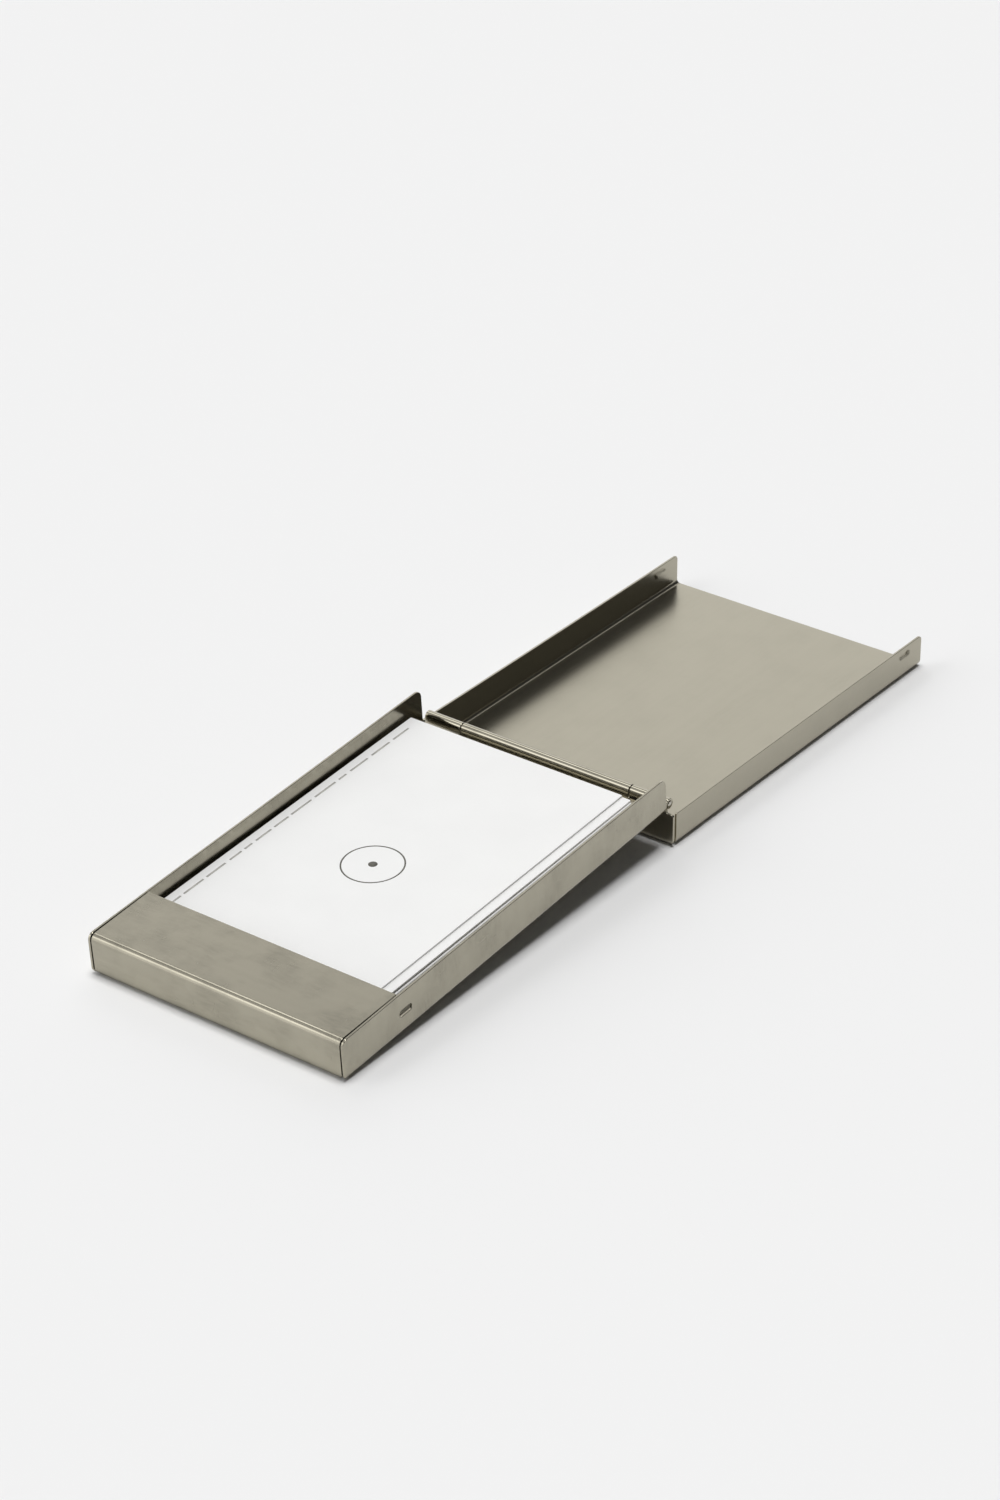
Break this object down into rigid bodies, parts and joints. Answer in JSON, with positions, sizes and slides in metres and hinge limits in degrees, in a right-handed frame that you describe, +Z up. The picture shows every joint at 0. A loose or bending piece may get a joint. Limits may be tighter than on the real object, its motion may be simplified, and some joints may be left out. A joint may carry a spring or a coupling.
{
  "type": "business card case",
  "caption": "Flat folded-steel card case lying open: a tray with a retaining band and a stack of cards, hinged on a rolled wire hinge to a shallow lid.",
  "frame": {"origin": "centre of the open case's outline, on the surface that it lies on", "axes": "+X across the case; +Y along it, from the tray towards the lid; +Z up. Stored open, as pictured: the lid flat on its outer face, the tray leaning down to its front edge"},
  "size_m": [0.0614, 0.1894, 0.0154],
  "materials": {
    "tray_steel": "brushed stainless steel sheet, satin, lightly handled",
    "lid_steel": "brushed stainless steel sheet, satin, lightly scratched inside",
    "pin_steel": "drawn stainless wire, bright",
    "card_stock": null
  },
  "bodies": {
    "tray": {"tray_shell": "tray_steel"},
    "lid": {"lid_shell": "lid_steel", "hinge_pin": "pin_steel"},
    "cards": {"card_1": "card_stock", "card_2": "card_stock", "card_3": "card_stock", "card_4": "card_stock", "card_5": "card_stock", "card_6": "card_stock", "card_7": "card_stock", "card_8": "card_stock", "card_9": "card_stock", "card_10": "card_stock"}
  },
  "joints": [
    {"name": "lid_hinge", "type": "hinge", "parent": "tray", "child": "lid", "pos_m": [0, 0.00575, 0.00865], "axis": [1, 0, 0], "range_deg": [-13, 184.3]},
    {"name": "card_slide", "type": "slide", "parent": "tray", "child": "cards", "axis": [0, 0.9971, 0.0758], "range_m": [-0.0032, 0.0053]}
  ]
}
